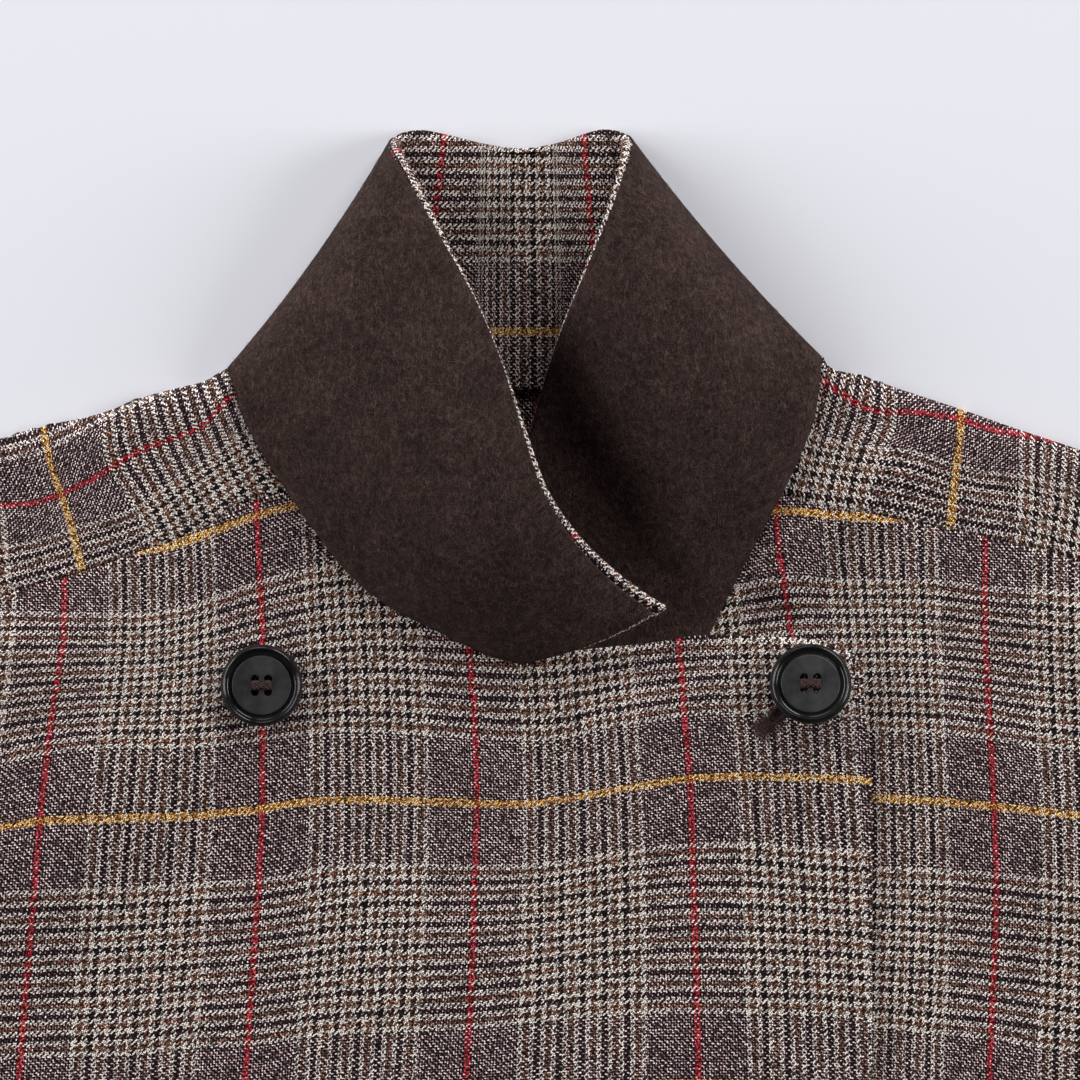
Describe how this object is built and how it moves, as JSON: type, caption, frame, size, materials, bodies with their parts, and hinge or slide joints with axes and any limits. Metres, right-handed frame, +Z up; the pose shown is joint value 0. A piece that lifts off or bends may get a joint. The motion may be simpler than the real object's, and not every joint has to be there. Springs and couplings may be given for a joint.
{
  "type": "double-breasted jacket",
  "caption": "Woven wool check double-breasted jacket with raglan sleeves and a turned-up felt-backed collar, laid flat on its back.",
  "frame": {"origin": "on the floor, under the middle of the laid-out garment's box", "axes": "+Z up from the floor, +Y from the hem to the collar, +X to the wearer's left"},
  "size_m": [1.3096, 0.7744, 0.0367],
  "materials": {
    "wool_check": "woven wool glen check in brown and off-white with red and orange lines",
    "felt": "dark brown melton felt with a short nap",
    "button": "charcoal satin resin"
  },
  "bodies": {
    "root": {"back": "wool_check", "front_over": "wool_check", "front_under": "wool_check", "sleeve_right_front": "wool_check", "sleeve_right_back": "wool_check", "sleeve_left_front": "wool_check", "sleeve_left_back": "wool_check", "upper_collar": "wool_check", "under_collar": "felt", "button_1_right": "button", "button_1_left": "button", "button_2_right": "button", "button_2_left": "button", "button_3_right": "button", "button_3_left": "button"}
  },
  "joints": []
}
